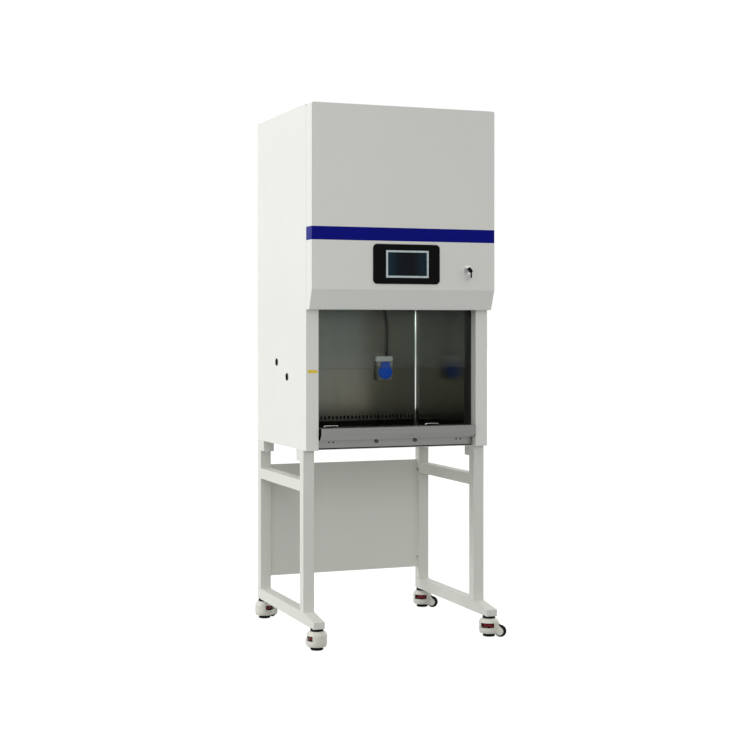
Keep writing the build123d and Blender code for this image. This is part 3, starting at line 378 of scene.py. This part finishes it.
# ------------------------------------------------------------------ pieces
def piece(name, mesh, finish, body="cabinet", smooth=True):
    """Links a bmesh as a finished piece that rides on a body, or on none where no body is given."""
    bmesh.ops.remove_doubles(mesh, verts=mesh.verts, dist=1e-6)
    bmesh.ops.recalc_face_normals(mesh, faces=mesh.faces)
    data = bpy.data.meshes.new(name)
    mesh.to_mesh(data)
    mesh.free()
    for face in data.polygons:
        face.use_smooth = smooth
    made = bpy.data.objects.new(name, data)
    scene.collection.objects.link(made)
    data.materials.append(finish.material)
    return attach(made, body) if body else made


def rounded(width, height, radius, steps=6):
    """Corners of a rounded rectangle about 0, as (across, up) pairs."""
    points = []
    for quarter in range(4):
        turn = quarter * math.pi / 2
        sx = 1 if quarter in (0, 3) else -1
        sz = 1 if quarter in (0, 1) else -1
        cx, cz = sx * (width / 2 - radius), sz * (height / 2 - radius)
        for step in range(steps + 1):
            a = turn + step / steps * math.pi / 2
            points.append((cx + radius * math.cos(a), cz + radius * math.sin(a)))
    return points


def stacked(mesh, outline, levels, place):
    """A closed form through copies of outline, each drawn in by inset at the height out of its level.
    place turns (across, up, out) into the row frame."""
    rings = []
    for inset, out in levels:
        ring = []
        for a, b in outline:
            length = math.hypot(a, b)
            ring.append(mesh.verts.new(place(a * (1 - inset / length), b * (1 - inset / length), out)))
        rings.append(ring)
    close(mesh, rings)


def close(mesh, rings):
    """Skins rings of as many points each, one after another, with a cap at both ends."""
    for low, high in zip(rings, rings[1:]):
        for i in range(len(low)):
            j = (i + 1) % len(low)
            mesh.faces.new((low[i], low[j], high[j], high[i]))
    mesh.faces.new(rings[0][::-1])
    mesh.faces.new(rings[-1])


def plate(mesh, outline, thickness, crown, place):
    """A plate with a softened front rim, standing off its back by thickness."""
    stacked(mesh, outline, ((0, 0), (0, thickness - crown), (crown * 0.3, thickness - crown * 0.3),
                            (crown, thickness)), place)


def slab(mesh, outline, half, crown, place):
    """A plate softened on both its faces, reaching half to each side of its middle."""
    stacked(mesh, outline, ((crown, -half), (crown * 0.3, crown * 0.3 - half), (0, crown - half),
                            (0, half - crown), (crown * 0.3, half - crown * 0.3), (crown, half)), place)


def tube(mesh, points, radius, sides=8, closed=False, wobble=0.0, seed=1):
    """A bead or wire along points, each ring's radius varied by wobble."""
    rand = random.Random(seed)
    rings = []
    for i, at in enumerate(points):
        before = points[i - 1] if i or closed else points[i]
        after = points[(i + 1) % len(points)] if i + 1 < len(points) or closed else points[i]
        along = (after - before).normalized()
        side = along.cross(Vector((0.31, 0.17, 0.93))).normalized()
        up = side.cross(along)
        r = radius * (1 + wobble * rand.uniform(-1, 1))
        rings.append([
            mesh.verts.new(at + r * (side * math.cos(t) + up * math.sin(t)))
            for t in (2 * math.pi * s / sides for s in range(sides))
        ])
    pairs = list(zip(rings, rings[1:])) + ([(rings[-1], rings[0])] if closed else [])
    for low, high in pairs:
        for s in range(sides):
            t = (s + 1) % sides
            mesh.faces.new((low[s], low[t], high[t], high[s]))
    if not closed:
        mesh.faces.new(rings[0][::-1])
        mesh.faces.new(rings[-1])


# the stripe: a vinyl band that follows the hood's front, its two corners and its sides
hood_low, hood_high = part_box("hood_cover")
STRIPE_DROP, STRIPE_WIDTH = 431 * MM, 47 * MM
STRIPE_END = 1.5 * MM
HOOD_CORNER, CORNER_STEPS = 0.5 * MM, 8
VINYL, VINYL_LIFT = 0.25 * MM, 0.02 * MM


def hood_outline(offset, back):
    """The hood in plan, from back on its left side round to back on its right, standing off by offset."""
    points = []
    turns = range(CORNER_STEPS + 1)
    for sign, order in ((-1, turns), (1, reversed(turns))):
        corner = []
        for step in order:
            a = step / CORNER_STEPS * math.pi / 2
            corner.append((
                sign * (hood_high.x - HOOD_CORNER + (HOOD_CORNER + offset) * math.cos(a)),
                hood_low.y + HOOD_CORNER - (HOOD_CORNER + offset) * math.sin(a),
            ))
        side = [(sign * (hood_high.x + offset), back)]
        points += side + corner if sign < 0 else corner + side
    return points


def hood_stripe(low_z, high_z, back):
    band = bmesh.new()
    inner, outer = hood_outline(VINYL_LIFT, back), hood_outline(VINYL, back)
    rows = [
        [band.verts.new((x, y, z)) for x, y in line]
        for line, z in ((inner, low_z), (outer, low_z), (outer, high_z), (inner, high_z))
    ]
    for low, high in zip(rows, rows[1:] + rows[:1]):
        for i in range(len(low) - 1):
            band.faces.new((low[i], low[i + 1], high[i + 1], high[i]))
    for end in (0, -1):
        band.faces.new([row[end] for row in rows])
    piece("hood_stripe", band, navy, smooth=False)


stripe_top = hood_high.z - STRIPE_DROP
hood_stripe(stripe_top - STRIPE_WIDTH, stripe_top, hood_high.y - STRIPE_END)

# the display's glass, just inside its metal frame
SCREEN_RIM, SCREEN_SET = 7 * MM, 1.6 * MM
GLASS_CORNER, GLASS_THICKNESS, GLASS_CROWN = 2 * MM, 1.2 * MM, 0.4 * MM
screen_mid = (SCREEN_LOW + SCREEN_HIGH) / 2
glass_width = SCREEN_HIGH.x - SCREEN_LOW.x - 2 * SCREEN_RIM
glass_height = SCREEN_HIGH.z - SCREEN_LOW.z - 2 * SCREEN_RIM
glass = bmesh.new()
plate(glass, rounded(glass_width, glass_height, GLASS_CORNER), GLASS_THICKNESS, GLASS_CROWN,
      lambda a, b, out: (screen_mid.x + a, SCREEN_LOW.y + SCREEN_SET - out, screen_mid.z + b))
piece("display_glass", glass, screen_dark, smooth=False)

# the yellow height mark on the left post, left bare
post_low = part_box("left_side_panel")[0]
MARKER_WIDTH, MARKER_HEIGHT, MARKER_CORNER = 36 * MM, 11 * MM, 1 * MM
MARKER_IN, MARKER_DROP = 24 * MM, 8 * MM
MARKER_FILM, MARKER_CROWN = 0.25 * MM, 0.1 * MM
marker_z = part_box("sash_glass")[0].z - MARKER_DROP
marker = bmesh.new()
plate(marker, rounded(MARKER_WIDTH, MARKER_HEIGHT, MARKER_CORNER), MARKER_FILM, MARKER_CROWN,
      lambda a, b, out: (post_low.x + MARKER_IN + a, post_low.y - out, marker_z + b))
piece("height_marker", marker, marker_yellow, smooth=False)

# the chamber's two rear corners are bent round, so that they wipe clean
wall_low, wall_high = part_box("chamber_rear_wall")
tray_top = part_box("work_tray")[1].z
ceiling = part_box("diffuser")[0].z
COVE, COVE_SHEET, COVE_GAP, COVE_STEPS = 9 * MM, 0.6 * MM, 0.2 * MM, 30
for sign, word in ((-1, "left"), (1, "right")):
    cove = bmesh.new()
    centre_x = sign * (wall_high.x - COVE)
    centre_y = wall_low.y - COVE
    turns = range(COVE_STEPS + 1)
    line = []
    for radius, order in ((COVE - COVE_GAP - COVE_SHEET, turns), (COVE - COVE_GAP, reversed(turns))):
        for step in order:
            a = step / COVE_STEPS * math.pi / 2
            line.append((centre_x + sign * radius * math.sin(a), centre_y + radius * math.cos(a)))
    close(cove, [[cove.verts.new((x, y, z)) for x, y in line]
                 for z in (tray_top + COVE_GAP, ceiling - COVE_GAP)])
    piece(f"chamber_cove_{word}", cove, cove_steel, smooth=False)

# weld beads where the stand's tubes meet, under the same paint
frame_low, frame_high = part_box("left_frame")
TUBE, BEAM_DROP, FRONT_LEG = 40 * MM, 147 * MM, -220 * MM
FOOT, BEAM = frame_low.z, frame_high.z - BEAM_DROP
LEGS = {"front": (FRONT_LEG, FRONT_LEG + TUBE), "rear": (frame_high.y - TUBE, frame_high.y)}
BEAD, BEAD_STEPS, BEAD_WOBBLE, BEAD_SEED = 1.3 * MM, 16, 0.18, 11
for sign, word in ((-1, "left"), (1, "right")):
    inner_x, outer_x = sign * (-frame_low.x - TUBE), sign * -frame_low.x
    runs = [(Vector((x, start, FOOT + TUBE)), Vector((x, end, FOOT + TUBE)))
            for start, end in LEGS.values() for x in (inner_x, outer_x)]
    runs += [(Vector((inner_x, y, z)), Vector((outer_x, y, z)))
             for y in (LEGS["front"][1], LEGS["rear"][0]) for z in (BEAM, BEAM + TUBE)]
    beads = bmesh.new()
    for seed, (start, end) in enumerate(runs, BEAD_SEED):
        run = [start.lerp(end, i / BEAD_STEPS) for i in range(BEAD_STEPS + 1)]
        tube(beads, run, BEAD, wobble=BEAD_WOBBLE, seed=seed)
    piece(f"{word}_stand_welds", beads, stand_paint)

# light hubs in the casters' wheels, turned about the axle through (radius, distance out) in millimetres
HUB_PROFILE = [(12.5, 6.05), (12.5, 6.8), (10.5, 7.3), (9.5, 6.5), (5.4, 6.5), (5.4, 6.05)]
HUB_SIDES = 32
UP = Vector((0, 0, 1))
joints = {joint["name"]: joint for joint in frame["joints"]}
for corner in CORNERS:
    joint = joints[f"{corner}_wheel_spin"]
    centre, axis = Vector(joint["pos_m"]), Vector(joint["axis"]).normalized()
    across = axis.cross(UP).normalized()
    hub = bmesh.new()
    for way in (-1, 1):
        rings = []
        for radius, out in HUB_PROFILE:
            face = centre + axis * way * out * MM
            turns = (2 * math.pi * side / HUB_SIDES for side in range(HUB_SIDES))
            rings.append([
                hub.verts.new(face + (across * math.cos(t) + UP * math.sin(t)) * radius * MM) for t in turns
            ])
        for low, high in zip(rings, rings[1:] + rings[:1]):
            for i in range(HUB_SIDES):
                j = (i + 1) % HUB_SIDES
                hub.faces.new((low[i], low[j], high[j], high[i]))
    piece(f"{corner}_wheel_hub", hub, nylon, f"{corner}_wheel")

# the socket's round sprung lid, with its tab up to the hinge
lid_low, lid_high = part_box("socket_lid")
LID_RADIUS, LID_TAB, LID_DEPTH, LID_CROWN, LID_STEPS = 28 * MM, 18 * MM, 9.6 * MM, 2.4 * MM, 40
LID_RISE = 1.5 * MM
BOSS_RADIUS, BOSS_STEPS, BOSS_HEIGHT, BOSS_CROWN, BOSS_SUNK = 20 * MM, 48, 1.3 * MM, 1.0 * MM, 0.3 * MM
lid_centre = Vector(((lid_low.x + lid_high.x) / 2, lid_high.y, lid_low.z + LID_RADIUS + LID_RISE))
tab_turn = math.acos(LID_TAB / LID_RADIUS)
tab_top = lid_high.z - lid_centre.z
arc = [tab_turn - step / LID_STEPS * (math.pi + 2 * tab_turn) for step in range(LID_STEPS + 1)]
outline = [(LID_TAB, tab_top)]
outline += [(LID_RADIUS * math.cos(a), LID_RADIUS * math.sin(a)) for a in arc]
outline += [(-LID_TAB, tab_top)]
turns = [2 * math.pi * step / BOSS_STEPS for step in range(BOSS_STEPS)]
lid = bmesh.new()
plate(lid, outline[::-1], LID_DEPTH, LID_CROWN,
      lambda a, b, out: lid_centre + Vector((a, -out, b)))
plate(lid, [(BOSS_RADIUS * math.cos(a), BOSS_RADIUS * math.sin(a)) for a in turns], BOSS_HEIGHT, BOSS_CROWN,
      lambda a, b, out: lid_centre + Vector((a, BOSS_SUNK - LID_DEPTH - out, b)))
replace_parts(piece("socket_round_lid", lid, blue, "socket_lid", smooth=False), "socket_lid")

# the key in its lock, its bow turned a little
lock_low, lock_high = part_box("key_switch")
lock = Vector(((lock_low.x + lock_high.x) / 2, lock_low.y, (lock_low.z + lock_high.z) / 2))
BOW_TURN = math.radians(30)
BOW_OUT, BOW_LENGTH, BOW_WIDTH, BOW_CORNER, BOW_HALF, BOW_CROWN = (
    18 * MM, 23 * MM, 20 * MM, 8 * MM, 3.4 * MM, 0.9 * MM)
STEM_OUT, STEM_SIDE, STEM_CORNER, STEM_HALF, STEM_CROWN = 3.6 * MM, 7 * MM, 0.5 * MM, 1.1 * MM, 0.2 * MM
bow_way = Vector((math.sin(BOW_TURN), 0, -math.cos(BOW_TURN)))
bow_face = Vector((math.cos(BOW_TURN), 0, math.sin(BOW_TURN)))
bow_centre = lock - Vector((0, BOW_OUT, 0))
bow = bmesh.new()
slab(bow, rounded(BOW_LENGTH, BOW_WIDTH, BOW_CORNER), BOW_HALF, BOW_CROWN,
     lambda a, b, out: bow_centre + Vector((0, -a, 0)) + bow_way * b + bow_face * out)
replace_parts(piece("key_bow", bow, key_metal, "key", smooth=False), "key")
stem = bmesh.new()
slab(stem, rounded(STEM_SIDE, STEM_SIDE, STEM_CORNER, 2), STEM_HALF, STEM_CROWN,
     lambda a, b, out: lock + Vector((0, -STEM_OUT - a, 0)) + bow_way * b + bow_face * out)
piece("key_stem", stem, chrome, "key", smooth=False)

# its ring through the bow, with a dark tag and a spare key on it
RING, RING_WIRE, RING_STEPS = 8.5 * MM, 0.8 * MM, 40
HOLE_DOWN, HOLE_OUT = 6.5 * MM, 3 * MM
LEAF_HALF, LEAF_CROWN, LEAF_CORNER = 0.9 * MM, 0.4 * MM, 0.45
hang = bow_centre + bow_way * HOLE_DOWN - Vector((0, HOLE_OUT, 0))
ring_centre = hang + Vector((-5, 0, -5.6)) * MM
turns = [2 * math.pi * step / RING_STEPS for step in range(RING_STEPS)]
ring = bmesh.new()
tube(ring, [ring_centre + RING * Vector((math.sin(t), 0, math.cos(t))) for t in turns], RING_WIRE,
     closed=True)
piece("key_ring", ring, zinc, "key")
tag_top = hang + Vector((-1.5, -3.2, -1)) * MM
spare_top = ring_centre + Vector((-6, 1.2, -3)) * MM
for name, finish, top, long, wide, lean in (
    ("key_tag", key_metal, tag_top, 22 * MM, 5.2 * MM, 0),
    ("key_spare", zinc, spare_top, 21 * MM, 6.5 * MM, 0.12),
):
    leaf = bmesh.new()
    slab(leaf, rounded(wide, long, wide * LEAF_CORNER), LEAF_HALF, LEAF_CROWN,
         lambda a, b, out: top + Vector((a + lean * (b - long / 2), -out, b - long / 2)))
    piece(name, leaf, finish, "key", smooth=False)

# the sash's two lifting straps, which pay out from the drum as the sash moves
strap_low, strap_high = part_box("sash_straps")
STRAP_WIDTH, STRAP_STEPS = 20 * MM, 64
straps = bmesh.new()
for sign in (-1, 1):
    middle = sign * (strap_high.x - STRAP_WIDTH / 2)
    near, far = middle - STRAP_WIDTH / 2, middle + STRAP_WIDTH / 2
    corners = ((near, strap_low.y), (far, strap_low.y), (far, strap_high.y), (near, strap_high.y))
    heights = [strap_low.z + (strap_high.z - strap_low.z) * i / STRAP_STEPS for i in range(STRAP_STEPS + 1)]
    close(straps, [[straps.verts.new((x, y, z)) for x, y in corners] for z in heights])
belt = piece("lifting_straps", straps, strap_webbing, None, smooth=False)
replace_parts(belt, "sash_straps")
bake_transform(belt)

# the rear panel's button-head screws
SCREW_RADIUS, SCREW_SIDES, SCREW_INSET, SCREW_ROWS = 4.2 * MM, 24, 14 * MM, 6
# each ring's radius and height as shares of the head's radius, and whether it is a hexagon
HEAD = ((1, 0, False), (1, 0.18, False), (0.8, 0.36, False), (0.42, 0.42, False), (0.38, 0.12, True))


def button_head(mesh, centre, out):
    """A domed screw head with a hexagon socket, standing off centre along out."""
    side = out.cross(UP).normalized()
    up = side.cross(out)
    rings = []
    for share, height, hexagon in HEAD:
        ring = []
        for step in range(SCREW_SIDES):
            a = 2 * math.pi * step / SCREW_SIDES
            reach = share * SCREW_RADIUS
            if hexagon:
                reach *= math.cos(math.pi / 6) / math.cos((a % (math.pi / 3)) - math.pi / 6)
            spot = centre + (side * math.cos(a) + up * math.sin(a)) * reach + out * height * SCREW_RADIUS
            ring.append(mesh.verts.new(spot))
        rings.append(ring)
    close(mesh, rings)


screws = bmesh.new()
low_z, high_z = back_low.z + SCREW_INSET, back_high.z - SCREW_INSET
places = [(sign * (back_high.x - SCREW_INSET), low_z + (high_z - low_z) * row / SCREW_ROWS)
          for row in range(SCREW_ROWS + 1) for sign in (-1, 1)]
places += [(sign * back_high.x / 3, z) for sign in (-1, 1) for z in (low_z, high_z)]
for x, z in places:
    button_head(screws, Vector((x, back_high.y, z)), Vector((0, 1, 0)))
piece("rear_panel_screws", screws, chrome, smooth=False)

# the hairline where the hood's returns meet the side panels: a real joint, drawn as a grey line of painted
# shade for the shadow in its gap
SEAM, SEAM_IN, SEAM_END, SEAM_STEPS = 0.4 * MM, 0.25 * MM, 1 * MM, 8
for sign, word in ((-1, "left"), (1, "right")):
    x = sign * (hood_high.x - SEAM_IN)
    start = Vector((x, hood_high.y, hood_low.z + SEAM_END))
    end = Vector((x, hood_high.y, hood_high.z - SEAM_END))
    seam = bmesh.new()
    tube(seam, [start.lerp(end, i / SEAM_STEPS) for i in range(SEAM_STEPS + 1)], SEAM)
    piece(f"hood_seam_{word}", seam, seam_shade_line)


# ------------------------------------------------------------------ stage
def seen(tree):
    """1 for rays from the camera, from reflections and through glass, and 0 for those that light things."""
    rays = tree.nodes.new("ShaderNodeLightPath")
    known = rays.outputs["Is Camera Ray"]
    for kind in ("Is Glossy Ray", "Is Transmission Ray"):
        either = tree.nodes.new("ShaderNodeMath")
        either.operation = "MAXIMUM"
        tree.links.new(known, either.inputs[0])
        tree.links.new(rays.outputs[kind], either.inputs[1])
        known = either.outputs["Value"]
    return known


def soft_white(name, colour, glow):
    """Plain matte stage white that keeps shadows and looks white to the camera and in reflections."""
    finish = Finish(name, Roughness=0.9, Specular_IOR_Level=0.0, Emission_Color=(1, 1, 1, 1))
    finish.colours(finish.noise(0.5), (0.4, colour), (0.6, shade(colour, 0.995)))
    power = finish.tree.nodes.new("ShaderNodeMath")
    power.operation = "MULTIPLY"
    power.inputs[1].default_value = glow
    finish.join(seen(finish.tree), power.inputs[0])
    finish.join(power.outputs["Value"], finish.shader.inputs["Emission Strength"])
    return finish


FLOOR_REACH = 60
floor_white = soft_white("floor_white", (0.37, 0.37, 0.366, 1), 0.84)
ground = bmesh.new()
bmesh.ops.create_grid(ground, x_segments=4, y_segments=4, size=FLOOR_REACH)
ground_data = bpy.data.meshes.new("studio_floor")
ground.to_mesh(ground_data)
ground.free()
floor = bpy.data.objects.new("studio_floor", ground_data)
scene.collection.objects.link(floor)
ground_data.materials.append(floor_white.material)

AMBIENT = 0.62
world = bpy.data.worlds.new("studio")
scene.world = world
world.use_nodes = True
sky = world.node_tree
ambient = sky.nodes["Background"]
ambient.inputs["Color"].default_value = (1.0, 1.0, 0.985, 1)
ambient.inputs["Strength"].default_value = AMBIENT
white = sky.nodes.new("ShaderNodeBackground")
white.inputs["Color"].default_value = (1, 1, 1, 1)
white.inputs["Strength"].default_value = 1.0
choose = sky.nodes.new("ShaderNodeMixShader")
sky.links.new(seen(sky), choose.inputs["Fac"])
sky.links.new(ambient.outputs["Background"], choose.inputs[1])
sky.links.new(white.outputs["Background"], choose.inputs[2])
sky.links.new(choose.outputs["Shader"], sky.nodes["World Output"].inputs["Surface"])

# soft square lamps: place, the height they aim at over the origin, width and power
for name, place, aim_z, width, watts in (
    ("side_light", (-5.5, 0.6, 2.6), 1.0, 3.0, 183),
    ("front_light", (-1.2, -5.0, 2.1), 1.1, 2.0, 45),
    ("right_fill", (5.5, 2.0, 2.8), 1.0, 3.5, 90),
):
    data = bpy.data.lights.new(name, "AREA")
    data.shape, data.size, data.energy = "SQUARE", width, watts
    made = bpy.data.objects.new(name, data)
    made.location = place
    made.rotation_euler = (Vector((0, 0, aim_z)) - Vector(place)).to_track_quat("-Z", "Y").to_euler()
    scene.collection.objects.link(made)

scene.view_settings.view_transform = "Standard"
CAMERA_PLACE = (-2.038, -5.293, 1.126)
CAMERA_TURN = math.radians(-21.11)
CAMERA_LENS, CAMERA_SENSOR, CAMERA_SHIFT = 72.72, 36, -0.0653
camera_data = bpy.data.cameras.new("camera")
camera_data.sensor_width = CAMERA_SENSOR
camera_data.lens = CAMERA_LENS
camera_data.shift_y = CAMERA_SHIFT
camera_data.clip_end = 200
camera = bpy.data.objects.new("camera", camera_data)
camera.location = CAMERA_PLACE
camera.rotation_euler = (math.radians(90), 0, CAMERA_TURN)
scene.collection.objects.link(camera)
scene.camera = camera
